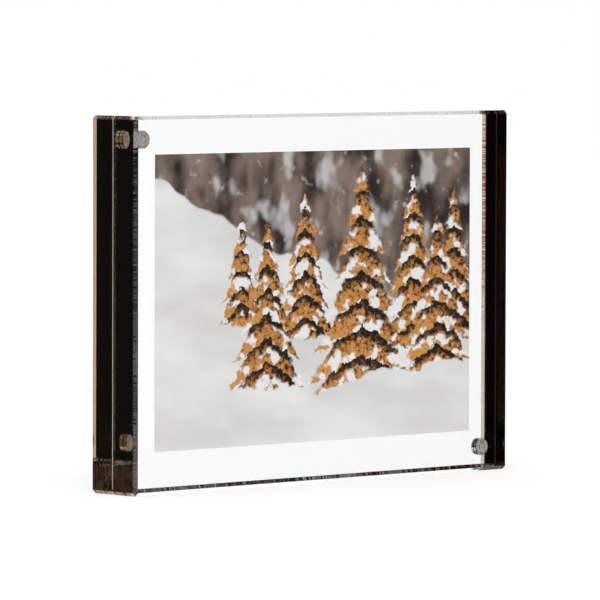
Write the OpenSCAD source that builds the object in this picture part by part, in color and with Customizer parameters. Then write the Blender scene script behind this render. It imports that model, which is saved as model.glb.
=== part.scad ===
// Magnetic photo frame: two thick clear acrylic blocks, held face to face by
// embedded disc magnets, with a photographic print clamped in the seam.
// Z is up, X runs along the width, the front faces -Y, and the middle of the
// seam lies at Y = 0. The origin is on the table under the middle of the frame.

/* [Frame] */
// Width over both dark end layers
frame_w = 177.8; // [165:0.1:260]
// Height of the blocks
frame_h = 127; // [115:0.1:220]
// Thickness of the front block
front_depth = 11.3; // [6:0.05:25]
// Thickness of the rear block
rear_depth = 11.05; // [6:0.05:25]
// Thickness of the smoked layer bonded on each end
end_layer = 0.3; // [0.2:0.1:6]

/* [Polished bevels] */
// Width of the bevels round the outer face and along the four long corners
outer_bevel = 1.2; // [0.3:0.05:3]
// Width of the small bevels round the face that meets the other block
seam_bevel = 0.1; // [0.05:0.05:1.5]

/* [Print] */
// Width of the photographic print
print_w = 150; // [90:1:160]
// Height of the photographic print
print_h = 100; // [60:1:110]
// Thickness of the photographic paper
print_thick = 0.12; // [0.08:0.01:1]
// Free space between the print and each block
print_clear = 0.02; // [0.01:0.01:0.3]
// How far the print was laid in to the right of the middle
print_shift_x = 0.5; // [-4:0.1:4]
// How far the print was laid in above the middle
print_shift_z = 0.4; // [-2:0.1:2]

/* [Magnets] */
// Diameter of a disc magnet
magnet_d = 6; // [3:0.1:10]
// Thickness of a disc magnet
magnet_thick = 2; // [1:0.1:5]
// Distance of a magnet's axis from the nearer end of the frame
magnet_inset_x = 8; // [6:0.1:12]
// Distance of a magnet's axis from the nearer top or bottom edge
magnet_inset_z = 8; // [6:0.1:12]
// Depth of the nickel disc's rounded rim
magnet_rim = 0.2; // [0.05:0.05:0.4]
// Radial play of a magnet in its pocket
pocket_clear = 0.05; // [0.02:0.01:0.3]
// Thickness of the cement film behind each magnet
cement_thick = 0.1; // [0.05:0.01:0.5]

/* [Quality] */
// Number of sides on the round parts
round_sides = 64; // [24:8:128]

/* [Hidden] */
overrun = 1;
front = -1;
rear = 1;
left = -1;
right = 1;
seam_gap = print_thick + 2 * print_clear;
seam_y = seam_gap / 2;
pocket_d = magnet_d + 2 * pocket_clear;
pocket_deep = magnet_thick + cement_thick;
magnet_x = frame_w / 2 - magnet_inset_x;
magnet_high_z = frame_h - magnet_inset_z;
magnet_low_z = magnet_inset_z;
corner_left = [-magnet_x, magnet_high_z];
corner_right = [magnet_x, magnet_low_z];

clear_tone = [0.86, 0.92, 0.93, 0.35];
smoke_tone = [0.10, 0.06, 0.04, 0.9];
nickel_tone = [0.72, 0.72, 0.70];
cement_tone = [0.80, 0.78, 0.70];
paper_tone = [0.93, 0.92, 0.90];

// Outline of a block seen from its end: Y runs from the seam face out to the
// outer face. Small bevels at the seam, larger ones outside.
module end_outline(depth) {
    polygon([
        [0, seam_bevel],
        [seam_bevel, 0],
        [depth - outer_bevel, 0],
        [depth, outer_bevel],
        [depth, frame_h - outer_bevel],
        [depth - outer_bevel, frame_h],
        [seam_bevel, frame_h],
        [0, frame_h - seam_bevel]
    ]);
}

// Outline of a block seen from above, with the same two bevel widths.
module top_outline(depth) {
    half_w = frame_w / 2;
    polygon([
        [-half_w + seam_bevel, 0],
        [half_w - seam_bevel, 0],
        [half_w, seam_bevel],
        [half_w, depth - outer_bevel],
        [half_w - outer_bevel, depth],
        [-half_w + outer_bevel, depth],
        [-half_w, depth - outer_bevel],
        [-half_w, seam_bevel]
    ]);
}

// Outline of a block seen from the front, with its four corners bevelled.
module face_outline() {
    half_w = frame_w / 2;
    polygon([
        [-half_w + outer_bevel, 0],
        [half_w - outer_bevel, 0],
        [half_w, outer_bevel],
        [half_w, frame_h - outer_bevel],
        [half_w - outer_bevel, frame_h],
        [-half_w + outer_bevel, frame_h],
        [-half_w, frame_h - outer_bevel],
        [-half_w, outer_bevel]
    ]);
}

// Whole bevelled slab, end layers included: the three outlines carried through
// one another. The seam face lies at Y = 0 and the slab grows towards +Y.
module slab(depth) {
    intersection() {
        translate([-frame_w / 2 - overrun, 0, 0])
            rotate([90, 0, 90])
                linear_extrude(frame_w + 2 * overrun)
                    end_outline(depth);
        translate([0, 0, -overrun])
            linear_extrude(frame_h + 2 * overrun)
                top_outline(depth);
        translate([0, depth + overrun, 0])
            rotate([90, 0, 0])
                linear_extrude(depth + 2 * overrun)
                    face_outline();
    }
}

// Everything between the two bonded faces of the end layers.
module core_zone(depth) {
    translate([-frame_w / 2 + end_layer, -overrun, -overrun])
        cube([frame_w - 2 * end_layer, depth + 2 * overrun, frame_h + 2 * overrun]);
}

// One end of the slab, outside the bonded face: side is left or right.
module end_zone(depth, side) {
    low_x = side == left ? -frame_w / 2 - overrun : frame_w / 2 - end_layer;
    translate([low_x, -overrun, -overrun])
        cube([end_layer + overrun, depth + 2 * overrun, frame_h + 2 * overrun]);
}

// Puts a half, drawn from its seam face towards +Y, behind the seam, or turns
// it round to the front: facing is front or rear.
module place_half(facing) {
    translate([0, facing * seam_y, 0])
        if (facing == front)
            mirror([0, 1, 0])
                children();
        else
            children();
}

// Blind pocket for a magnet, open at the seam face.
module pocket(corner) {
    translate([corner[0], -overrun, corner[1]])
        rotate([-90, 0, 0])
            cylinder(h = pocket_deep + overrun, d = pocket_d, $fn = round_sides);
}

// Clear block with its two magnet pockets.
module clear_block(depth, facing) {
    color(clear_tone)
        place_half(facing)
            difference() {
                intersection() {
                    slab(depth);
                    core_zone(depth);
                }
                pocket(corner_left);
                pocket(corner_right);
            }
}

// Smoked layer bonded on one end of a block.
module smoked_layer(depth, facing, side) {
    color(smoke_tone)
        place_half(facing)
            intersection() {
                slab(depth);
                end_zone(depth, side);
            }
}

// Nickel-plated disc with softened rims, flush with the seam face.
module magnet(corner, facing) {
    color(nickel_tone)
        place_half(facing)
            translate([corner[0], 0, corner[1]])
                rotate([-90, 0, 0])
                    rotate_extrude($fn = round_sides)
                        polygon([
                            [0, 0],
                            [magnet_d / 2 - magnet_rim, 0],
                            [magnet_d / 2, magnet_rim],
                            [magnet_d / 2, magnet_thick - magnet_rim],
                            [magnet_d / 2 - magnet_rim, magnet_thick],
                            [0, magnet_thick]
                        ]);
}

// Thin cement film between a magnet and the floor of its pocket.
module cement(corner, facing) {
    color(cement_tone)
        place_half(facing)
            translate([corner[0], magnet_thick, corner[1]])
                rotate([-90, 0, 0])
                    cylinder(h = cement_thick, d = magnet_d, $fn = round_sides);
}

// Photographic print, held in the seam a little off the middle of the frame.
module print_sheet() {
    low_x = print_shift_x - print_w / 2;
    low_z = print_shift_z + (frame_h - print_h) / 2;
    color(paper_tone)
        translate([low_x, -print_thick / 2, low_z])
            cube([print_w, print_thick, print_h]);
}

module front_block() { clear_block(front_depth, front); }
module rear_block() { clear_block(rear_depth, rear); }
module front_left_end_layer() { smoked_layer(front_depth, front, left); }
module front_right_end_layer() { smoked_layer(front_depth, front, right); }
module rear_left_end_layer() { smoked_layer(rear_depth, rear, left); }
module rear_right_end_layer() { smoked_layer(rear_depth, rear, right); }
module front_left_magnet() { magnet(corner_left, front); }
module front_right_magnet() { magnet(corner_right, front); }
module rear_left_magnet() { magnet(corner_left, rear); }
module rear_right_magnet() { magnet(corner_right, rear); }
module front_left_cement() { cement(corner_left, front); }
module front_right_cement() { cement(corner_right, front); }
module rear_left_cement() { cement(corner_left, rear); }
module rear_right_cement() { cement(corner_right, rear); }
module photo_print() { print_sheet(); }

front_block();
rear_block();
front_left_end_layer();
front_right_end_layer();
rear_left_end_layer();
rear_right_end_layer();
front_left_magnet();
front_right_magnet();
rear_left_magnet();
rear_right_magnet();
front_left_cement();
front_right_cement();
rear_left_cement();
rear_right_cement();
photo_print();
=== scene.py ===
import math

import bmesh
import bpy
import numpy as np
from mathutils import Matrix, Vector
from mathutils.geometry import delaunay_2d_cdt


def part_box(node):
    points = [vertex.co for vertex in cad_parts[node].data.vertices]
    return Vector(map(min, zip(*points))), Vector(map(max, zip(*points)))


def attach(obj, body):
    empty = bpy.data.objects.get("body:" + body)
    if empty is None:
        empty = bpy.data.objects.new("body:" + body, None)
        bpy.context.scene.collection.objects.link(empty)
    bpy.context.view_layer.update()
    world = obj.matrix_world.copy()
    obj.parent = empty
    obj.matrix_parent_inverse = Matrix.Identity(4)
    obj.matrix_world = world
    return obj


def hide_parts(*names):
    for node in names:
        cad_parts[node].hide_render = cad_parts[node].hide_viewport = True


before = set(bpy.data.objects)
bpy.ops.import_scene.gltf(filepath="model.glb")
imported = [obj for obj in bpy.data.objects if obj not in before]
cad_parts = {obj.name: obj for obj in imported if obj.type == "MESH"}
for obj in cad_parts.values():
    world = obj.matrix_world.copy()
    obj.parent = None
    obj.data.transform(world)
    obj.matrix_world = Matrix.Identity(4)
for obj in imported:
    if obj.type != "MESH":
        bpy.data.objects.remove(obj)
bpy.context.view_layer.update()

mm = 0.001


def addPiece(name, corners, faces, material, body, nodeName, labels=None, smooth=False, other=None):
    # One closed mesh from arrays: doubles are merged and the faces turned outwards. labels are numbers for each corner
    # of each face, kept as a UV map. other is a second material and the faces that carry it
    mesh = bpy.data.meshes.new(name)
    mesh.from_pydata(np.asarray(corners, float).tolist(), [], [list(map(int, face)) for face in faces])
    if labels is not None:
        layer = mesh.uv_layers.new(name="turnedUV")
        layer.data.foreach_set("uv", np.asarray(labels, np.float32).ravel())
    mesh.materials.append(material)
    if other is not None:
        carries = np.zeros(len(faces), np.int32)
        carries[other[1]] = 1
        mesh.materials.append(other[0])
        mesh.polygons.foreach_set("material_index", carries)
    work = bmesh.new()
    work.from_mesh(mesh)
    bmesh.ops.remove_doubles(work, verts=work.verts, dist=1e-7)
    bmesh.ops.recalc_face_normals(work, faces=work.faces)
    work.to_mesh(mesh)
    work.free()
    mesh.polygons.foreach_set("use_smooth", [smooth] * len(mesh.polygons))
    piece = bpy.data.objects.new(name, mesh)
    bpy.context.scene.collection.objects.link(piece)
    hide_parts(nodeName)
    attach(piece, body)
    return piece


def gridFaces(rows, columns, start=0):
    # Four-sided faces of a grid of rows of corners, each row a closed ring of columns
    row, column = np.meshgrid(np.arange(rows - 1), np.arange(columns), indexing="ij")
    after = (column + 1) % columns
    return (
        start + np.stack([row * columns + column, row * columns + after,
                          (row + 1) * columns + after, (row + 1) * columns + column], -1).reshape(-1, 4)
    ).tolist()


def slabRings(halfWidth, middle, halfHeight, insets, bevel):
    # The outline of a block seen from the front, once for each inset: a rectangle drawn in by the inset, with its
    # four corners cut at 45 degrees by what the inset leaves of the bevel
    signX = np.array([1, 1, 1, 1, -1, -1, -1, -1])
    signZ = np.array([-1, -1, 1, 1, 1, 1, -1, -1])
    backX = np.array([1, 0, 0, 1, 1, 0, 0, 1])
    backZ = 1 - backX
    inset = np.asarray(insets, float)[:, None]
    cut = np.maximum(bevel - 2 * inset, 0)
    x = signX * (halfWidth - inset - backX * cut)
    z = middle + signZ * (halfHeight - inset - backZ * cut)
    return x, z


def turnedRings(profile, centre, seamY, facing, sides):
    # A profile of (radius, depth) carried round an axis along Y through centre: depth grows from the seam outwards
    angle = np.linspace(0, 2 * np.pi, sides, endpoint=False)
    radius, depth = np.asarray(profile, float).T
    x = centre[0] + radius[:, None] * np.cos(angle)
    z = centre[1] + radius[:, None] * np.sin(angle)
    y = seamY + facing * np.repeat(depth[:, None], sides, 1)
    return np.stack([x, y, z], -1)


def newMaterial(name):
    # A node material emptied of its first nodes, and its tree
    material = bpy.data.materials.new(name)
    material.use_nodes = True
    material.node_tree.nodes.clear()
    return material, material.node_tree


def put(tree, kind, feeds=None, **choices):
    # One shader node: choices are its own settings, feeds are its inputs, each a value or another node's output
    made = tree.nodes.new("ShaderNode" + kind)
    for name, value in choices.items():
        setattr(made, name, value)
    for name, value in (feeds or {}).items():
        socket = made.inputs[name]
        if isinstance(value, bpy.types.NodeSocket):
            tree.links.new(value, socket)
        else:
            socket.default_value = value
    return made


def calc(tree, operation, *values, clamp=False):
    # One sum in shader nodes: MULTIPLY_ADD is the first value times the second plus the third
    made = put(tree, "Math", dict(enumerate(values)), operation=operation, use_clamp=clamp)
    return made.outputs[0]


def ease(tree, value, low, high, toLow=0.0, toHigh=1.0):
    # A smooth step from toLow at low to toHigh at high
    feeds = {"Value": value, "From Min": low, "From Max": high, "To Min": toLow, "To Max": toHigh}
    return put(tree, "MapRange", feeds, interpolation_type="SMOOTHSTEP").outputs[0]


def mixColour(tree, share, first, second):
    # The first colour times one minus the share, plus the second times the share
    made = put(tree, "Mix", data_type="RGBA")
    for index, value in ((0, share), (6, first), (7, second)):
        if isinstance(value, bpy.types.NodeSocket):
            tree.links.new(value, made.inputs[index])
        else:
            made.inputs[index].default_value = value
    return made.outputs[2]


def newGroup(name, inputs, outputs):
    # A shader node group with named sockets: inputs are (name, kind, value), outputs (name, kind)
    tree = bpy.data.node_groups.new(name, "ShaderNodeTree")
    for label, kind, value in inputs:
        socket = tree.interface.new_socket(name=label, in_out="INPUT", socket_type="NodeSocket" + kind)
        if value is not None:
            socket.default_value = value
    for label, kind in outputs:
        tree.interface.new_socket(name=label, in_out="OUTPUT", socket_type="NodeSocket" + kind)
    return tree, tree.nodes.new("NodeGroupInput").outputs, tree.nodes.new("NodeGroupOutput").inputs


def place(tree, group, feeds):
    # One use of a node group, fed by the names of its sockets
    made = put(tree, "Group", node_tree=group)
    for name, value in feeds.items():
        if isinstance(value, bpy.types.NodeSocket):
            tree.links.new(value, made.inputs[name])
        else:
            made.inputs[name].default_value = value
    return made.outputs


block = {
    "outerBevel": 1.2 * mm,
    "seamBevel": 0.1 * mm,
    "pocketPlay": 0.05 * mm,
    "pocketSides": 96,
    "glassIndex": 1.492,
    "glassTone": (0.991, 0.994, 0.995, 1),
    "shadowTone": (0.93, 0.95, 0.95, 1),
    "markHeight": 0.05 * mm,
    "markLength": 1.6 * mm,
    "markSeed": 1.7,
    "dullest": 0.28,  # roughness of a bevel where the grinding was polished least
    # painted shade in the seam at the right end: how wide it is, how far it reaches and its near-black tone
    "seamShadeWidth": 0.5 * mm,
    "seamShadeHeight": 0.2 * mm,  # how far it reaches from the middle of the seam
    "seamShadeTone": (0.004, 0.003, 0.003, 1),
    "dust": {"Cell": 0.009, "Size": 0.012, "Share": 0.2},
    "dustTone": (0.55, 0.55, 0.54, 1),
    "wallTones": ((0.97, 0.97, 0.965, 1), (0.80, 0.79, 0.77, 1)),  # clear and milky
    "wallNoise": {"Scale": 900.0, "Detail": 3.0},
    "wallMilkyFrom": (0.35, 0.7),
}


def spanOf(*nodes):
    # The box round several CAD nodes, as its lowest and highest corners
    boxes = [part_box(name) for name in nodes]
    low = np.min([list(b[0]) for b in boxes], 0)
    high = np.max([list(b[1]) for b in boxes], 0)
    return low, high


whole = spanOf("front_block", "rear_block", "front_left_end_layer", "front_right_end_layer")
halfWidth = (whole[1][0] - whole[0][0]) / 2
halfHeight = (whole[1][2] - whole[0][2]) / 2
middleZ = (whole[1][2] + whole[0][2]) / 2
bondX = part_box("front_block")[1][0]
facings = {"front": -1, "rear": 1}
sides = {"left": -1, "right": 1}
bodyOf = {"front": "front_half", "rear": "rear_half"}


def seamAndDepth(half):
    # Where a half's seam face lies along Y, and how far its outer face is from it
    low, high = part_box(half + "_block")
    near, far = (high[1], low[1]) if half == "front" else (low[1], high[1])
    return near, abs(far - near)


def magnetPlace(half, side):
    # A magnet's centre, radius and thickness, and its cement film's thickness
    low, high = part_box(f"{half}_{side}_magnet")
    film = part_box(f"{half}_{side}_cement")
    thick = high[1] - low[1]
    return ((low[0] + high[0]) / 2, (low[2] + high[2]) / 2), (high[2] - low[2]) / 2, thick, film[1][1] - film[0][1]


def makeBlock(half, material, wallMaterial):
    # The whole polished slab, ends included: its outline carried from the seam face to the outer face, drawn in at
    # both for the bevels. The seam face is filled round two turned pockets, whose walls the cement has wetted
    seamY, depth = seamAndDepth(half)
    facing = facings[half]
    seam, outer = block["seamBevel"], block["outerBevel"]
    insets = np.array([seam, 0, 0, outer])
    stations = seamY + facing * np.array([0, seam, depth - outer, depth])
    x, z = slabRings(halfWidth, middleZ, halfHeight, insets, outer)
    corners = np.stack([x, np.repeat(stations[:, None], 8, 1), z], -1).reshape(-1, 3)
    faces = gridFaces(len(insets), 8) + [list(range(len(corners) - 8, len(corners)))]
    rings, firstWall = [], len(faces)
    for side in sides:
        centre, discRadius, thick, film = magnetPlace(half, side)
        radius = discRadius + block["pocketPlay"]
        pocket = turnedRings([(radius, 0), (radius, thick + film)], centre, seamY, facing, block["pocketSides"])
        start = len(corners)
        corners = np.concatenate([corners, pocket.reshape(-1, 3)])
        faces += gridFaces(2, block["pocketSides"], start)
        faces.append(list(range(start + block["pocketSides"], start + 2 * block["pocketSides"])))
        rings.append(pocket[0][:, [0, 2]])
    walls = np.arange(firstWall, len(faces))
    edge = np.stack([x[0], z[0]], -1)
    flat = np.concatenate([edge] + rings)
    loops = [list(range(8))]
    for ring in rings:
        first = loops[-1][-1] + 1
        loops.append(list(range(first, first + len(ring))))
    points, _, triangles, _, _, _ = delaunay_2d_cdt([Vector(p) for p in flat], [], loops, 0, 1e-9)
    points = np.array([list(p) for p in points])
    middles = points[np.array(triangles)].mean(1)
    outside = np.ones(len(triangles), bool)
    for ring in rings:
        outside &= np.linalg.norm(middles - ring.mean(0), axis=1) > radius
    start = len(corners)
    corners = np.concatenate([corners, np.stack([points[:, 0], np.full(len(points), seamY), points[:, 1]], -1)])
    faces += (start + np.array(triangles)[outside]).tolist()
    return addPiece(f"{half}_clear_block", corners, faces, material, bodyOf[half], half + "_block",
                    other=(wallMaterial, walls))


endLayer = {
    "inset": 0.02 * mm,
    "letsThrough": (0.71, 0.57, 0.44),  # what is left of light that crosses the layer squarely
    "overMost": 1.02,  # the density, as a share of the most that the layer takes of any colour
    "dust": {"Cell": 0.004, "Size": 0.02, "Share": 0.15},
    "dustTone": (0.4, 0.38, 0.36, 1),
}


def makeEndLayer(half, side, material):
    # The slab's end outside the bonded face, a hair inside the polished skin: half of the slab's outline, clipped at
    # the bonded face and carried between the bevels, into which it runs as far as the layer is thick
    seamY, depth = seamAndDepth(half)
    facing, handed, hair = facings[half], sides[side], endLayer["inset"]
    seam, outer = block["seamBevel"], block["outerBevel"]
    halfW, halfH = halfWidth - hair, halfHeight - hair
    first, last = min(seam, halfW - bondX), min(outer, halfW - bondX)
    inset = np.array([first, 0, 0, last])
    along = np.array([hair + seam - first, hair + seam, depth - hair - outer, depth - hair - outer + last])
    cut = np.maximum(outer - 2 * inset, 0)
    edgeX = halfW - inset - cut  # where the bottom edge ends and the corner cut starts
    startX = np.maximum(bondX, edgeX)
    startZ = inset + startX - edgeX
    sideX = halfW - inset
    sideZ = inset + cut
    ringX = np.stack([np.full(4, bondX), startX, sideX, sideX, startX, np.full(4, bondX)], -1)
    upper = np.stack([sideZ, startZ, startZ], -1)
    ringZ = np.concatenate([-halfH + upper[:, ::-1], halfH - upper], 1)
    ringY = np.repeat(seamY + facing * along[:, None], 6, 1)
    corners = np.stack([handed * ringX, ringY, middleZ + ringZ], -1).reshape(-1, 3)
    faces = gridFaces(4, 6) + [list(range(6))]
    name = f"{half}_{side}_end_layer"
    return addPiece(f"{half}_{side}_smoked_layer", corners, faces, material, bodyOf[half], name)


magnet = {
    "rim": 0.2 * mm,
    "rimSteps": 7,
    "faceSteps": 24,
    "sides": 96,
    "rings": {"Pitch": 0.12, "Coarse": 1.1, "Streaks": 7.0},
    "ringHeight": 0.004 * mm,
    "ringBump": 0.5,
    "tones": ((0.42, 0.39, 0.35, 1), (0.93, 0.92, 0.90, 1)),  # dull and bright
    "roughness": (0.30, 0.18),  # dull and bright
    # painted shade on the rims: its near-black tone, where it is full and where it has ended, and how much it darkens
    "rimShadeTone": (0.03, 0.026, 0.022, 1),
    "rimShadeReach": (0.12, 0.34),  # millimetres from the middle of a rim, where it is full and where it has ended
    "rimShadeAmount": 0.92,
}


def makeMagnet(half, side, material):
    # A disc turned from its profile: flat faces, rims rounded by a quarter circle
    seamY, _ = seamAndDepth(half)
    centre, radius, thick, _ = magnetPlace(half, side)
    rim = magnet["rim"]
    turn = np.linspace(0, np.pi / 2, magnet["rimSteps"])
    flat = np.linspace(0, radius - rim, magnet["faceSteps"])[:-1]
    nearRim = np.stack([radius - rim + rim * np.sin(turn), rim - rim * np.cos(turn)], -1)
    nearFace = np.stack([flat, np.zeros(len(flat))], -1)
    farRim = np.stack([nearRim[::-1, 0], thick - nearRim[::-1, 1]], -1)
    farFace = np.stack([flat[::-1], np.full(len(flat), thick)], -1)
    profile = np.concatenate([nearFace, nearRim, farRim, farFace])
    rings = turnedRings(profile, centre, seamY, facings[half], magnet["sides"])
    faces = gridFaces(len(profile), magnet["sides"])
    run = np.concatenate([[0], np.cumsum(np.linalg.norm(np.diff(profile, axis=0), axis=1))]) / mm
    labels = turnedLabels(run, magnet["sides"])
    name = f"{half}_{side}_magnet"
    return addPiece(f"{half}_{side}_disc_magnet", rings.reshape(-1, 3), faces, material, bodyOf[half], name,
                    labels, smooth=True)


def turnedLabels(run, columns):
    # For each corner of each face: how far round it lies, and the millimetres run along the profile
    row, column = np.meshgrid(np.arange(len(run) - 1), np.arange(columns), indexing="ij")
    around = np.stack([column, column + 1, column + 1, column], -1) / columns
    along = np.stack([run[row], run[row], run[row + 1], run[row + 1]], -1)
    return np.stack([around, along], -1)


cement = {
    "fills": (0.1, 0.9),  # where it starts and ends in the space behind the magnet, as shares of it
    "steps": 12,
    "sides": 96,
    "shrink": 0.035,
    "lobes": ((3, 0.02), (7, 0.012)),  # how many round the rim, and how far they reach, as a share of the radius
    "turn": {"left": 0.7, "right": 2.1},
    "rings": {"Pitch": 0.35, "Coarse": 1.25, "Streaks": 0.8},
    "ringHeight": 0.006 * mm,
    "ringBump": 0.5,
    "milkiness": (0.35, 0.5, 0.8),  # what the rings and the blotches add, and the sum at which it is full
    "tones": ((0.42, 0.41, 0.395, 1), (0.60, 0.595, 0.58, 1)),
    "covers": (0.25, 0.65),  # clear and milky
    "roughness": 0.45,
}


def makeCement(half, side, material):
    # A thin film with a squeezed-out, uneven rim, between the magnet's back and the pocket's floor: the radius swells
    # with the angle by a few sine lobes
    seamY, _ = seamAndDepth(half)
    centre, discRadius, thick, film = magnetPlace(half, side)
    steps, columns, shift = cement["steps"], cement["sides"], cement["turn"][side]
    angle = np.linspace(0, 2 * np.pi, columns, endpoint=False)
    (fewLobes, fewReach), (manyLobes, manyReach) = cement["lobes"]
    swell = 1 + fewReach * np.sin(fewLobes * angle + shift) + manyReach * np.sin(
        manyLobes * angle + 2 * shift) - cement["shrink"]
    outwards = np.linspace(0, 1, steps)
    radius = np.concatenate([outwards, outwards[::-1]]) * discRadius
    depth = np.repeat(thick + np.array(cement["fills"]) * film, steps)
    rings = turnedRings(np.stack([radius, depth], -1), (0, 0), seamY, facings[half], columns)
    rings[..., 0] = centre[0] + rings[..., 0] * swell
    rings[..., 2] = centre[1] + rings[..., 2] * swell
    run = np.concatenate([outwards, 1 + outwards]) * discRadius / mm
    name = f"{half}_{side}_cement"
    return addPiece(f"{half}_{side}_cement_film", rings.reshape(-1, 3), gridFaces(2 * steps, columns), material,
                    bodyOf[half], name, turnedLabels(run, columns))


printSheet = {
    "edge": 0.03 * mm,
    "backTones": ((0.80, 0.80, 0.79, 1), (0.86, 0.86, 0.85, 1)),
    "roughness": (0.55, 0.35),  # back and front
    "sheen": 0.2,
    "fibres": {"Scale": 3000.0, "Detail": 2.0},
    "fibreHeight": 0.004 * mm,
    "fibreBump": 0.3,
}


def makePrint(material):
    # A flat sheet with eased edges: its outline carried through its thickness
    low, high = (np.array(list(c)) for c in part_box("photo_print"))
    edge = printSheet["edge"]
    insets = [edge, 0, 0, edge]
    stations = [low[1], low[1] + edge, high[1] - edge, high[1]]
    x, z = slabRings((high[0] - low[0]) / 2, (low[2] + high[2]) / 2, (high[2] - low[2]) / 2, insets, 0.0)
    x = x + (low[0] + high[0]) / 2
    corners = np.stack([x, np.repeat(np.array(stations)[:, None], 8, 1), z], -1).reshape(-1, 3)
    faces = gridFaces(4, 8) + [list(range(8)), list(range(24, 32))]
    return addPiece("colour_print", corners, faces, material, "print", "photo_print")


marks = {
    "faceAndBevel": (0.9, 0.8),  # the normal's largest part on a face and on a bevel
    "slopes": -1.414,  # minus the root of two: one plus this times 0.707, a bevel normal's size on two axes, is nought
    "waveDetail": 3.0,
    "ticks": {"Scale": 2.2, "Detail": 2.0},
    "patches": {"Scale": 0.05, "Detail": 2.0},
    "patchEffect": (0.35, 0.65, -0.06, 0.10),
    "nicks": (0.56, 0.64, 0.0, -0.5),
    "dulls": (0.45, 0.57),
    "ground": (-0.05, 0.05, 0.45, 0.22),  # how dull it is between the ticks, from the left end to the right
    "leastGround": 0.02,
    "tickDull": 0.85,
    # how much each changes with the normal's part along Z
    "levelHeight": -0.6,
    "levelAmount": -0.15,
    "levelGround": -0.60,
    "levelDull": 0.7,
}


def makeMarksGroup():
    # Cutter marks, which only the 45 degree bevels carry. A bevel is known by its normal, whose largest part is well
    # under one, and the part that is nought tells the axis along which it runs. Height is an uneven wave with a few
    # nicks. Dull is high at the cross ticks that were not polished out, where fine noise along the run, raised by slow
    # noise, passes a limit, and low on the ground between them. Level bevels, whose normals have a part along Z, have
    # fewer and shallower ticks on a clearer ground, and the ground is clearer at the right end than at the left
    tree, given, out = newGroup("cutterMarks", [("Length", "Float", 0.002), ("Seed", "Float", 0.0)],
                                [("Height", "Float"), ("Dull", "Float")])
    normal = put(tree, "NewGeometry").outputs["True Normal"]
    sizes = put(tree, "VectorMath", {0: normal}, operation="ABSOLUTE").outputs[0]
    parts = put(tree, "SeparateXYZ", {0: sizes}).outputs
    largest = calc(tree, "MAXIMUM", calc(tree, "MAXIMUM", parts[0], parts[1]), parts[2])
    bevel = ease(tree, largest, *marks["faceAndBevel"])
    spot = put(tree, "TexCoord").outputs["Object"]
    axis = put(tree, "VectorMath", {0: sizes, 1: (marks["slopes"],) * 3, 2: (1, 1, 1)},
               operation="MULTIPLY_ADD").outputs[0]
    run = put(tree, "VectorMath", {0: spot, 1: axis}, operation="DOT_PRODUCT").outputs["Value"]
    scaled = put(tree, "VectorMath", {0: spot, 3: calc(tree, "DIVIDE", 1.0, given["Length"])}, operation="SCALE")
    wave = put(tree, "TexNoise", {"Vector": scaled.outputs[0], "W": given["Seed"], "Scale": 1.0,
                                  "Detail": marks["waveDetail"]}, noise_dimensions="4D").outputs[0]
    steps = calc(tree, "DIVIDE", run, given["Length"])
    ticks = put(tree, "TexNoise", {"W": steps, **marks["ticks"]}, noise_dimensions="1D").outputs[0]
    slow = put(tree, "TexNoise", {"W": calc(tree, "ADD", steps, given["Seed"]), **marks["patches"]},
               noise_dimensions="1D").outputs[0]

    def levelled(key, value):
        # The value plus the normal's part along Z times what the key names
        return calc(tree, "MULTIPLY_ADD", parts[2], marks[key], value)

    cut = ease(tree, ticks, *marks["nicks"])
    deep = calc(tree, "MULTIPLY", levelled("levelHeight", 1.0), bevel)
    tree.links.new(calc(tree, "MULTIPLY", calc(tree, "ADD", wave, cut), deep), out["Height"])
    amount = calc(tree, "ADD", ticks, ease(tree, slow, *marks["patchEffect"]))
    across = put(tree, "SeparateXYZ", {0: spot}).outputs[0]
    ground = calc(tree, "MAXIMUM", levelled("levelGround", ease(tree, across, *marks["ground"])), marks["leastGround"])
    dull = ease(tree, levelled("levelAmount", amount), *marks["dulls"], ground,
                levelled("levelDull", marks["tickDull"]))
    tree.links.new(calc(tree, "MULTIPLY", dull, bevel), out["Dull"])
    return tree


def makeSpecksGroup():
    # Dust: a few round specks, each in its own cell, where a cell's random number is high
    tree, given, out = newGroup("dustSpecks", [("Cell", "Float", 0.004), ("Size", "Float", 0.02),
                                               ("Share", "Float", 0.1)], [("Mask", "Float")])
    spot = put(tree, "TexCoord").outputs["Object"]
    scale = calc(tree, "DIVIDE", 1.0, given["Cell"])
    cells = put(tree, "TexVoronoi", {"Vector": spot, "Scale": scale}).outputs
    chosen = calc(tree, "LESS_THAN", put(tree, "SeparateColor", {0: cells["Color"]}).outputs[0], given["Share"])
    near = calc(tree, "LESS_THAN", cells["Distance"], given["Size"])
    tree.links.new(calc(tree, "MULTIPLY", chosen, near), out["Mask"])
    return tree


ringLook = {
    "heights": (0.3, 0.7),  # the share of the fine wave and of the coarse one
    "blotches": {"Scale": 1.0, "Detail": 3.0},
    "blotchFrom": (0.25, 0.65),
    "coarseMask": 0.22,
}


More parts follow.
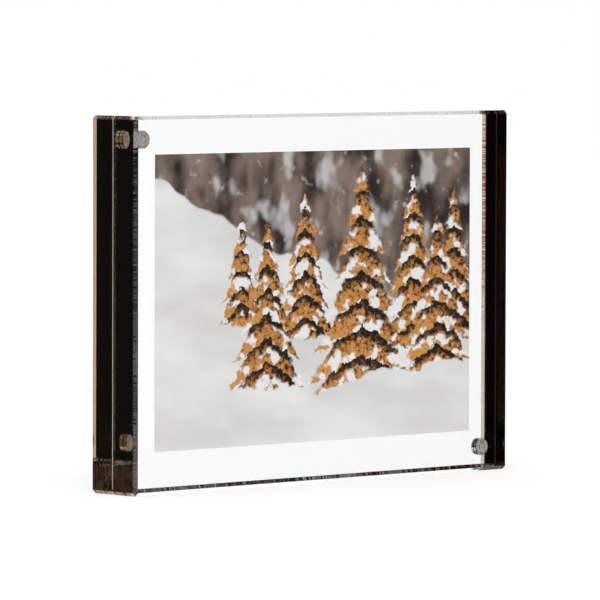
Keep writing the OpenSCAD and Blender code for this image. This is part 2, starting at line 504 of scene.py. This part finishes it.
def makeRingsGroup():
    # Turning rings: a fine and a coarse wave along the run of the profile, broken by streaks of noise round the axis
    tree, given, out = newGroup("turningRings", [("Pitch", "Float", 0.2), ("Coarse", "Float", 0.9),
                                                 ("Streaks", "Float", 3.0)], [("Height", "Float"), ("Mask", "Float")])
    label = put(tree, "SeparateXYZ", {0: put(tree, "UVMap", uv_map="turnedUV").outputs[0]}).outputs
    around, along = calc(tree, "SINE", calc(tree, "MULTIPLY", label[0], 2 * math.pi)), label[1]
    beside = calc(tree, "COSINE", calc(tree, "MULTIPLY", label[0], 2 * math.pi))
    fine = calc(tree, "SINE", calc(tree, "MULTIPLY", calc(tree, "DIVIDE", along, given["Pitch"]), 2 * math.pi))
    broad = calc(tree, "SINE", calc(tree, "MULTIPLY", calc(tree, "DIVIDE", along, given["Coarse"]), 2 * math.pi))
    blotch = put(tree, "TexNoise", {"Vector": put(tree, "CombineXYZ", {
        0: calc(tree, "MULTIPLY", around, given["Streaks"]), 1: calc(tree, "MULTIPLY", beside, given["Streaks"]),
        2: along}).outputs[0], **ringLook["blotches"]}).outputs[0]
    byFine, byBroad = ringLook["heights"]
    height = calc(tree, "ADD", calc(tree, "MULTIPLY", fine, byFine), calc(tree, "MULTIPLY", broad, byBroad))
    tree.links.new(height, out["Height"])
    mask = calc(tree, "MULTIPLY_ADD", broad, ringLook["coarseMask"], ease(tree, blotch, *ringLook["blotchFrom"]),
                clamp=True)
    tree.links.new(mask, out["Mask"])
    return tree


marksGroup, specksGroup, ringsGroup = makeMarksGroup(), makeSpecksGroup(), makeRingsGroup()


def clearMaterial():
    # Polished acrylic: specks of dust on it, cutter marks on its bevels, painted shade in the seam's last half
    # millimetre at the right end, a near-black tint on the glass. Rays to the lamps pass it nearly whole
    material, tree = newMaterial("clearAcrylic")
    cut = place(tree, marksGroup, {"Length": block["markLength"], "Seed": block["markSeed"]})
    dust = place(tree, specksGroup, block["dust"])["Mask"]
    tone = mixColour(tree, dust, block["glassTone"], block["dustTone"])
    parts = put(tree, "SeparateXYZ", {0: put(tree, "TexCoord").outputs["Object"]}).outputs
    # painted shade: the glass is tinted near black in the seam's last half millimetre at the right end
    last = calc(tree, "GREATER_THAN", parts["X"], float(halfWidth - block["seamShadeWidth"]))
    inSeam = calc(tree, "LESS_THAN", calc(tree, "ABSOLUTE", parts["Y"]), block["seamShadeHeight"])
    tone = mixColour(tree, calc(tree, "MULTIPLY", last, inSeam), tone, block["seamShadeTone"])
    bump = put(tree, "Bump", {"Height": cut["Height"], "Distance": block["markHeight"], "Strength": 1.0})
    glass = put(tree, "BsdfPrincipled", {
        "Base Color": tone, "Roughness": calc(tree, "MULTIPLY", cut["Dull"], block["dullest"]),
        "IOR": block["glassIndex"], "Transmission Weight": 1.0, "Normal": bump.outputs[0]})
    through = put(tree, "BsdfTransparent", {"Color": block["shadowTone"]})
    lightPath = put(tree, "LightPath")
    both = put(tree, "MixShader", {0: lightPath.outputs["Is Shadow Ray"], 1: glass.outputs[0], 2: through.outputs[0]})
    put(tree, "OutputMaterial", {"Surface": both.outputs[0]})
    return material


def wettedMaterial():
    # A pocket wall that cement has wetted: light passes it straight on, a little less where the cement is milky
    material, tree = newMaterial("wettedWall")
    spot = put(tree, "TexCoord").outputs["Object"]
    milky = put(tree, "TexNoise", {"Vector": spot, **block["wallNoise"]}).outputs[0]
    tone = mixColour(tree, ease(tree, milky, *block["wallMilkyFrom"]), *block["wallTones"])
    put(tree, "OutputMaterial", {"Surface": put(tree, "BsdfTransparent", {"Color": tone}).outputs[0]})
    return material


def smokedMaterial():
    # What the layer takes is minus the logarithm of what it lets through, for each metre. The density is a little more
    # than the most that it takes of any colour, and the absorption's colour is one less what it takes over the density
    material, tree = newMaterial("smokedAcrylic")
    taken = -np.log(np.array(endLayer["letsThrough"])) / (halfWidth - bondX)
    density = taken.max() * endLayer["overMost"]
    tone = 1 - taken / density
    dust = place(tree, specksGroup, endLayer["dust"])["Mask"]
    through = put(tree, "BsdfTransparent", {"Color": mixColour(tree, dust, (1, 1, 1, 1), endLayer["dustTone"])})
    smoke = put(tree, "VolumeAbsorption", {"Color": (*tone, 1), "Density": float(density)})
    put(tree, "OutputMaterial", {"Surface": through.outputs[0], "Volume": smoke.outputs[0]})
    return material


def nickelMaterial():
    # Nickel plate: turning rings in its gloss and height, a little yellower where it is dull, and painted shade on the
    # rims, which lie a rim's width either side of the disc's side along the run of its profile
    material, tree = newMaterial("nickelPlate")
    turned = place(tree, ringsGroup, magnet["rings"])
    _, radius, thick, _ = magnetPlace("front", "left")
    arc = magnet["rim"] * math.pi / 2
    sideMiddle = (radius - magnet["rim"] + arc + thick / 2 - magnet["rim"]) / mm
    along = put(tree, "SeparateXYZ", {0: put(tree, "UVMap", uv_map="turnedUV").outputs[0]}).outputs[1]
    off = calc(tree, "ABSOLUTE", calc(tree, "SUBTRACT", along, sideMiddle))
    rim = calc(tree, "ABSOLUTE", calc(tree, "SUBTRACT", off, (thick / 2 - magnet["rim"] + arc / 2) / mm))
    tone = mixColour(tree, turned["Mask"], *magnet["tones"])
    # painted shade: the rims are darkened towards near black
    rimShaded = ease(tree, rim, *magnet["rimShadeReach"], magnet["rimShadeAmount"], 0.0)
    tone = mixColour(tree, rimShaded, tone, magnet["rimShadeTone"])
    gloss = ease(tree, turned["Mask"], 0.0, 1.0, *magnet["roughness"])
    bump = put(tree, "Bump", {"Height": turned["Height"], "Distance": magnet["ringHeight"],
                              "Strength": magnet["ringBump"]})
    metal = put(tree, "BsdfPrincipled", {"Base Color": tone, "Metallic": 1.0, "Roughness": gloss,
                                         "Normal": bump.outputs[0]})
    put(tree, "OutputMaterial", {"Surface": metal.outputs[0]})
    return material


def cementMaterial():
    # Clear cement gone milky in rings, where the nickel behind it shows less
    material, tree = newMaterial("clearCement")
    turned = place(tree, ringsGroup, cement["rings"])
    tone = mixColour(tree, turned["Mask"], *cement["tones"])
    byRings, byBlotches, full = cement["milkiness"]
    milky = ease(tree, calc(tree, "MULTIPLY_ADD", turned["Height"], byRings, calc(
        tree, "MULTIPLY", turned["Mask"], byBlotches)), 0.0, full, *cement["covers"])
    bump = put(tree, "Bump", {"Height": turned["Height"], "Distance": cement["ringHeight"],
                              "Strength": cement["ringBump"]})
    film = put(tree, "BsdfPrincipled", {"Base Color": tone, "Roughness": cement["roughness"], "Alpha": milky,
                                        "Normal": bump.outputs[0]})
    put(tree, "OutputMaterial", {"Surface": film.outputs[0]})
    return material


picture = {
    "woodsDark": (0.030, 0.019, 0.014, 1),
    "woodsPale": (0.24, 0.175, 0.145, 1),
    "snow": (0.79, 0.785, 0.78, 1),
    "snowShade": (0.655, 0.645, 0.64, 1),
    "amber": (0.60, 0.285, 0.075, 1),
    "orange": (0.30, 0.085, 0.011, 1),
    "gap": (0.012, 0.008, 0.006, 1),
    # noises: scale, detail and how each axis is squeezed
    "woodsBroad": (4.5, 2.0, (1.7, 0.7, 1)),
    "woodsFine": (14.0, 2.0, (1, 0.8, 1)),
    "woodsShares": (0.7, 0.3),  # of the broad noise and of the fine one
    "flakes": (24.0, 1.0),
    "snowyBoughs": (7.0, 2.0, (1.3, 1, 1)),
    "slopeWaves": (2.2,),
    "driftWaves": (3.1, 4.0),
    "snowWaves": (3.0, 4.0, (0.6, 1.5, 1)),
    # where a noise starts and ends to show, and how much it shows there
    "woodsFrom": (0.36, 0.62),
    "flakesFrom": (0.62, 0.76, 0.0, 0.35),
    "boughsFrom": (0.53, 0.70, 0.0, 0.55),
    "shadeFrom": (0.35, 0.65),
    "slopeEdge": (-0.006, 0.010),
    "driftEdge": (-0.004, 0.006),
    # a slope's top: how much it rises for each unit to the right, its height at the left edge, and how much it wavers
    "farSlope": (-0.40, 0.93, 0.35),
    "nearDrift": (0.07, 0.14, 0.30),
    # each tree, from the farthest: foot, half its width and its height, tiers of branches
    "trees": [((0.40, 0.42), (0.10, 0.38), 6.0), ((1.42, 0.36), (0.13, 0.52), 7.0), ((0.70, 0.36), (0.14, 0.52), 7.0),
              ((1.22, 0.32), (0.15, 0.62), 8.0), ((0.52, 0.20), (0.17, 0.58), 7.0), ((1.34, 0.15), (0.20, 0.64), 8.0),
              ((0.97, 0.10), (0.27, 0.86), 9.0)],
}


snowyTree = {
    "edge": {"Scale": 26.0, "Detail": 5.0, "Roughness": 0.6},
    "edgeReach": (0.07, 0.07, 0),
    "footFrom": (-0.02, 0.0),
    "droop": 1.1,  # tiers by which a tip hangs lower than the middle
    "top": 1.03,
    "reach": (-0.42, 1.1),  # how much a tier draws in from its tips up, and its reach at the tips
    "feather": 0.07,
    "needles": {"Scale": 60.0, "Detail": 4.0, "Roughness": 0.7},
    "clumps": {"Scale": 17.0, "Detail": 2.0},
    "sideShade": -0.10,
    "tierShade": -0.16,
    "amberFrom": (0.30, 0.54),
    "gapFrom": (0.5, 0.95, 0.0, 0.9),
    "darkFrom": (0.42, 0.30),
    "snowFrom": (0.50, 0.58),
    "snowUpTo": (0.72, 0.52),
}


def makeTreeGroup():
    # An amber tree under snow: a cone of drooping tiers with a saw-toothed, feathered edge. A tier runs from 0 at its
    # tips to 1 where the one above hides it
    tree, given, out = newGroup("snowyTree", [
        ("Spot", "Vector", None), ("Foot", "Vector", None), ("Size", "Vector", None), ("Tiers", "Float", 7.0)],
        [("Colour", "Color"), ("Mask", "Float")])
    look = snowyTree
    off = put(tree, "VectorMath", {0: given["Spot"], 1: given["Foot"]}, operation="SUBTRACT").outputs[0]
    rough = put(tree, "TexNoise", {"Vector": given["Spot"], **look["edge"]}).outputs["Color"]
    shift = put(tree, "VectorMath", {0: rough, 1: (0.5, 0.5, 0.5)}, operation="SUBTRACT").outputs[0]
    bent = put(tree, "VectorMath", {0: shift, 1: look["edgeReach"], 2: off}, operation="MULTIPLY_ADD").outputs[0]
    parts = put(tree, "SeparateXYZ", {0: put(tree, "VectorMath", {0: bent, 1: given["Size"]},
                                             operation="DIVIDE").outputs[0]}).outputs
    across, height = calc(tree, "ABSOLUTE", parts["X"]), parts["Y"]
    tier = calc(tree, "FRACT", calc(tree, "MULTIPLY_ADD", height, given["Tiers"], calc(
        tree, "MULTIPLY", across, look["droop"])))
    reach = calc(tree, "MULTIPLY", calc(tree, "SUBTRACT", look["top"], height),
                 calc(tree, "MULTIPLY_ADD", tier, *look["reach"]))
    inside = ease(tree, calc(tree, "SUBTRACT", reach, across), 0.0, look["feather"])
    tree.links.new(calc(tree, "MULTIPLY", inside, ease(tree, height, *look["footFrom"])), out["Mask"])
    needles = put(tree, "TexNoise", {"Vector": given["Spot"], **look["needles"]}).outputs[0]
    clumps = put(tree, "TexNoise", {"Vector": given["Spot"], **look["clumps"]}).outputs[0]
    light = calc(tree, "MULTIPLY_ADD", parts["X"], look["sideShade"], calc(
        tree, "MULTIPLY_ADD", tier, look["tierShade"], needles))
    colour = mixColour(tree, ease(tree, light, *look["amberFrom"]), picture["orange"], picture["amber"])
    hidden = calc(tree, "ADD", ease(tree, tier, *look["gapFrom"]), ease(tree, light, *look["darkFrom"]), clamp=True)
    colour = mixColour(tree, hidden, colour, picture["gap"])
    lies = calc(tree, "MULTIPLY", ease(tree, clumps, *look["snowFrom"]), ease(tree, tier, *look["snowUpTo"]))
    tree.links.new(mixColour(tree, lies, colour, picture["snow"]), out["Colour"])
    return tree


def printMaterial():
    # A snowy slope with amber trees before blurred woods, on the front alone. Picture units are the print's height
    material, tree = newMaterial("colourPrint")
    low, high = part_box("photo_print")
    tall = high[2] - low[2]
    spot = put(tree, "TexCoord").outputs["Object"]
    parts = put(tree, "SeparateXYZ", {0: spot}).outputs
    x = calc(tree, "DIVIDE", calc(tree, "SUBTRACT", parts["X"], low[0]), tall)
    y = calc(tree, "DIVIDE", calc(tree, "SUBTRACT", parts["Z"], low[2]), tall)
    at = put(tree, "CombineXYZ", {0: x, 1: y}).outputs[0]

    def noise(scale, detail=3.0, stretch=(1, 1, 1)):
        # Noise over the picture, squeezed along each axis by what stretch multiplies it with
        where = put(tree, "VectorMath", {0: at, 1: stretch}, operation="MULTIPLY").outputs[0]
        return put(tree, "TexNoise", {"Vector": where, "Scale": scale, "Detail": detail}).outputs[0]

    def under(line, waves, edge):
        # One below the top of a slope, nought above it
        rise, left, waver = picture[line]
        top = calc(tree, "ADD", calc(tree, "MULTIPLY_ADD", x, rise, left), calc(
            tree, "MULTIPLY", calc(tree, "SUBTRACT", noise(*picture[waves]), 0.5), waver))
        return ease(tree, calc(tree, "SUBTRACT", top, y), *picture[edge])

    byBroad, byFine = picture["woodsShares"]
    woods = calc(tree, "ADD", calc(tree, "MULTIPLY", noise(*picture["woodsBroad"]), byBroad), calc(
        tree, "MULTIPLY", noise(*picture["woodsFine"]), byFine))
    colour = mixColour(tree, ease(tree, woods, *picture["woodsFrom"]), picture["woodsDark"], picture["woodsPale"])
    flecks = calc(tree, "MAXIMUM", ease(tree, noise(*picture["flakes"]), *picture["flakesFrom"]), ease(
        tree, noise(*picture["snowyBoughs"]), *picture["boughsFrom"]))
    colour = mixColour(tree, flecks, colour, picture["snow"])
    slope = under("farSlope", "slopeWaves", "slopeEdge")
    shade = ease(tree, noise(*picture["snowWaves"]), *picture["shadeFrom"])
    snow = mixColour(tree, shade, picture["snowShade"], picture["snow"])
    colour = mixColour(tree, slope, colour, snow)
    treeGroup = makeTreeGroup()
    for foot, size, tiers in picture["trees"]:
        made = place(tree, treeGroup, {"Spot": at, "Foot": (*foot, 0), "Size": (*size, 1), "Tiers": tiers})
        colour = mixColour(tree, made["Mask"], colour, made["Colour"])
    # the near drift lies over the trees' feet
    colour = mixColour(tree, under("nearDrift", "driftWaves", "driftEdge"), colour, snow)
    front = calc(tree, "LESS_THAN", parts["Y"], float(low[1] + printSheet["edge"] / 2))
    fibre = put(tree, "TexNoise", {"Vector": spot, **printSheet["fibres"]}).outputs[0]
    back = mixColour(tree, fibre, *printSheet["backTones"])
    bump = put(tree, "Bump", {"Height": fibre, "Distance": printSheet["fibreHeight"],
                              "Strength": printSheet["fibreBump"]})
    surface = put(tree, "BsdfPrincipled", {
        "Base Color": mixColour(tree, front, back, colour), "Normal": bump.outputs[0],
        "Roughness": ease(tree, front, 0.0, 1.0, *printSheet["roughness"]), "Specular IOR Level": printSheet["sheen"]})
    put(tree, "OutputMaterial", {"Surface": surface.outputs[0]})
    return material


clear, wetted, smoked, nickel, cementFilm, paper = (
    clearMaterial(), wettedMaterial(), smokedMaterial(), nickelMaterial(), cementMaterial(), printMaterial())
for half in facings:
    makeBlock(half, clear, wetted)
    for side in sides:
        makeEndLayer(half, side, smoked)
        makeMagnet(half, side, nickel)
        makeCement(half, side, cementFilm)
makePrint(paper)
print("pieces made")

studio = {
    "floorSize": 3.0,
    "floorTone": (0.8, 0.8, 0.8, 1),
    "floorLines": 9,
    "floorGlow": (0.1, 1.5, 0.15, 0.32),  # from how far to how far it grows, and its strength at both
    "evenLight": 0.95,  # what falls on matt surfaces
    "lightBehind": 1.8,  # the same behind the acrylic, which keeps back nearly half of it
    "roomLevel": 1.15,
    "lampPlace": (-0.9, -1.0, 1.6),
    "lampPower": 14.0,
    "lampSize": 1.2,
    "bounces": 40,  # enough for light to zigzag through the whole width of a block
    # each flag: middle and half width in degrees from +X towards +Y, lowest and highest angle above the level, how
    # soft its edge is, and its tone
    "flags": [(-38.0, 40.0, -13.5, 14.0, 4.0, (0.012, 0.016, 0.021)), (-2.0, 32.0, 6.0, 74.0, 4.0, (0.01,) * 3),
              (166.0, 70.0, -13.5, 14.0, 4.0, (0.005,) * 3), (178.0, 32.0, 6.0, 74.0, 4.0, (0.01,) * 3),
              (132.0, 24.0, 10.0, 45.0, 4.0, (0.03,) * 3), (94.0, 40.0, 12.0, 78.0, 4.0, (0.015,) * 3),
              (-94.0, 24.0, 24.0, 70.0, 4.0, (0.015,) * 3), (80.0, 30.0, -56.0, -9.0, 4.0, (0.1,) * 3),
              (-60.0, 22.0, -48.0, -16.0, 4.0, (0.12,) * 3), (25.0, 29.0, -60.0, -10.0, 4.0, (0.7,) * 3),
              (70.5, 5.0, -6.5, 1.5, 0.5, (0.60, 0.55, 0.54)), (69.5, 5.0, -2.9, -1.2, 0.2, (0.34, 0.11, 0.06)),
              (148.0, 9.5, -46.0, -28.0, 1.5, (0.02,) * 3), (-148.0, 9.5, -46.0, -28.0, 1.5, (0.02,) * 3)],
}


def makeFloor():
    # A plain square grid at the height that the object stands on. For the camera it glows, more with the distance
    # from the object, to make up for the light that it lacks
    size, lines = studio["floorSize"], studio["floorLines"]
    line = np.linspace(-size, size, lines)
    x, y = np.meshgrid(line, line)
    corners = np.stack([x, y, np.zeros_like(x)], -1).reshape(-1, 3)
    row, column = np.meshgrid(np.arange(lines - 1), np.arange(lines - 1), indexing="ij")
    base = row * lines + column
    faces = np.stack([base, base + 1, base + lines + 1, base + lines], -1).reshape(-1, 4)
    mesh = bpy.data.meshes.new("studio_floor")
    mesh.from_pydata(corners.tolist(), [], faces.tolist())
    floor = bpy.data.objects.new("studio_floor", mesh)
    bpy.context.scene.collection.objects.link(floor)
    material, tree = newMaterial("floorPaper")
    matt = put(tree, "BsdfDiffuse", {"Color": studio["floorTone"]})
    lightPath = put(tree, "LightPath")
    away = put(tree, "VectorMath", {0: put(tree, "TexCoord").outputs["Object"]}, operation="LENGTH").outputs["Value"]
    strength = calc(tree, "MULTIPLY", lightPath.outputs["Is Camera Ray"], ease(tree, away, *studio["floorGlow"]))
    glow = put(tree, "Emission", {"Color": (1, 1, 1, 1), "Strength": strength})
    both = put(tree, "AddShader", {0: matt.outputs[0], 1: glow.outputs[0]})
    put(tree, "OutputMaterial", {"Surface": both.outputs[0]})
    mesh.materials.append(material)
    floor.visible_glossy = False
    floor.visible_transmission = False
    return floor


def makeWorld():
    # White for the camera, even soft light for matt surfaces. Glass and metal see a white room with dark flags round
    # it. A flag is one where the ray's turn lies within its half width of its middle, times one where the ray's
    # rise lies between its lowest and its highest angle, both eased over its edge
    world = bpy.data.worlds.new("studioRoom")
    bpy.context.scene.world = world
    world.use_nodes = True
    tree = world.node_tree
    tree.nodes.clear()
    ray = put(tree, "TexCoord").outputs["Generated"]
    parts = put(tree, "SeparateXYZ", {0: ray}).outputs
    turn = calc(tree, "ARCTAN2", parts["Y"], parts["X"])
    rise = calc(tree, "MULTIPLY", calc(tree, "ARCSINE", parts["Z"]), 180 / math.pi)
    level = (*(studio["roomLevel"],) * 3, 1)
    for middle, wide, lowest, highest, edge, tone in studio["flags"]:
        off = calc(tree, "ARCCOSINE", calc(tree, "COSINE", calc(tree, "SUBTRACT", turn, math.radians(middle))))
        across = ease(tree, calc(tree, "MULTIPLY", off, 180 / math.pi), wide - edge, wide, 1.0, 0.0)
        flag = calc(tree, "MULTIPLY", calc(tree, "MULTIPLY", across, ease(tree, rise, lowest, lowest + edge)),
                    ease(tree, rise, highest - edge, highest, 1.0, 0.0))
        level = mixColour(tree, flag, level, (*tone, 1))
    lightPath = put(tree, "LightPath").outputs
    matt = calc(tree, "GREATER_THAN", lightPath["Diffuse Depth"], 0.5)
    even = ease(tree, lightPath["Is Transmission Ray"], 0.0, 1.0, studio["evenLight"], studio["lightBehind"])
    evenTone = put(tree, "CombineColor", {0: even, 1: even, 2: even}).outputs[0]
    seen = mixColour(tree, lightPath["Is Camera Ray"], mixColour(tree, matt, level, evenTone), (1, 1, 1, 1))
    background = put(tree, "Background", {"Color": seen, "Strength": 1.0})
    put(tree, "OutputWorld", {"Surface": background.outputs[0]})
    world.cycles.sampling_method = "NONE"


def makeLamp():
    # A soft square lamp, aimed at the middle of the object
    light = bpy.data.lights.new("key_lamp", "AREA")
    light.shape = "SQUARE"
    light.size = studio["lampSize"]
    light.energy = studio["lampPower"]
    lamp = bpy.data.objects.new("key_lamp", light)
    bpy.context.scene.collection.objects.link(lamp)
    lamp.location = studio["lampPlace"]
    aim = Vector((0, 0, middleZ)) - lamp.location
    lamp.rotation_euler = aim.to_track_quat("-Z", "Y").to_euler()
    lamp.visible_glossy = lamp.visible_transmission = lamp.visible_camera = False


viewpoint = {
    "place": (-1.41249, -1.47304, 0.16828),
    "turn": 43.754,  # degrees from +Y towards +X
    "down": 2.970,
    "roll": 0.167,
    "focalPixels": 5928.1,
    "photoPixels": 600,
    "sensorWidth": 36.0,
    "clip": (0.05, 100.0),
}


def makeCamera():
    # Its axes are worked out from the turn, the downward tilt and the small roll, and its lens from the distance, in
    # the photo's pixels, at which the picture plane would lie
    data = bpy.data.cameras.new("photoCamera")
    camera = bpy.data.objects.new("photoCamera", data)
    bpy.context.scene.collection.objects.link(camera)
    turn, down, roll = (math.radians(viewpoint[k]) for k in ("turn", "down", "roll"))
    ahead = np.array([math.sin(turn) * math.cos(down), math.cos(turn) * math.cos(down), -math.sin(down)])
    right = np.array([math.cos(turn), -math.sin(turn), 0])
    up = np.cross(right, ahead)
    right, up = right * math.cos(roll) + up * math.sin(roll), up * math.cos(roll) - right * math.sin(roll)
    pose = np.eye(4)
    pose[:3, 0], pose[:3, 1], pose[:3, 2], pose[:3, 3] = right, up, -ahead, viewpoint["place"]
    camera.matrix_world = Matrix(pose.tolist())
    data.sensor_fit = "HORIZONTAL"
    data.sensor_width = viewpoint["sensorWidth"]
    data.lens = viewpoint["focalPixels"] / viewpoint["photoPixels"] * data.sensor_width
    data.clip_start, data.clip_end = viewpoint["clip"]
    bpy.context.scene.camera = camera


makeFloor()
makeWorld()
makeLamp()
makeCamera()
scene = bpy.context.scene
scene.view_settings.view_transform = "Standard"
for kind in ("max_bounces", "glossy_bounces", "transmission_bounces", "transparent_max_bounces"):
    setattr(scene.cycles, kind, studio["bounces"])
print("studio set")
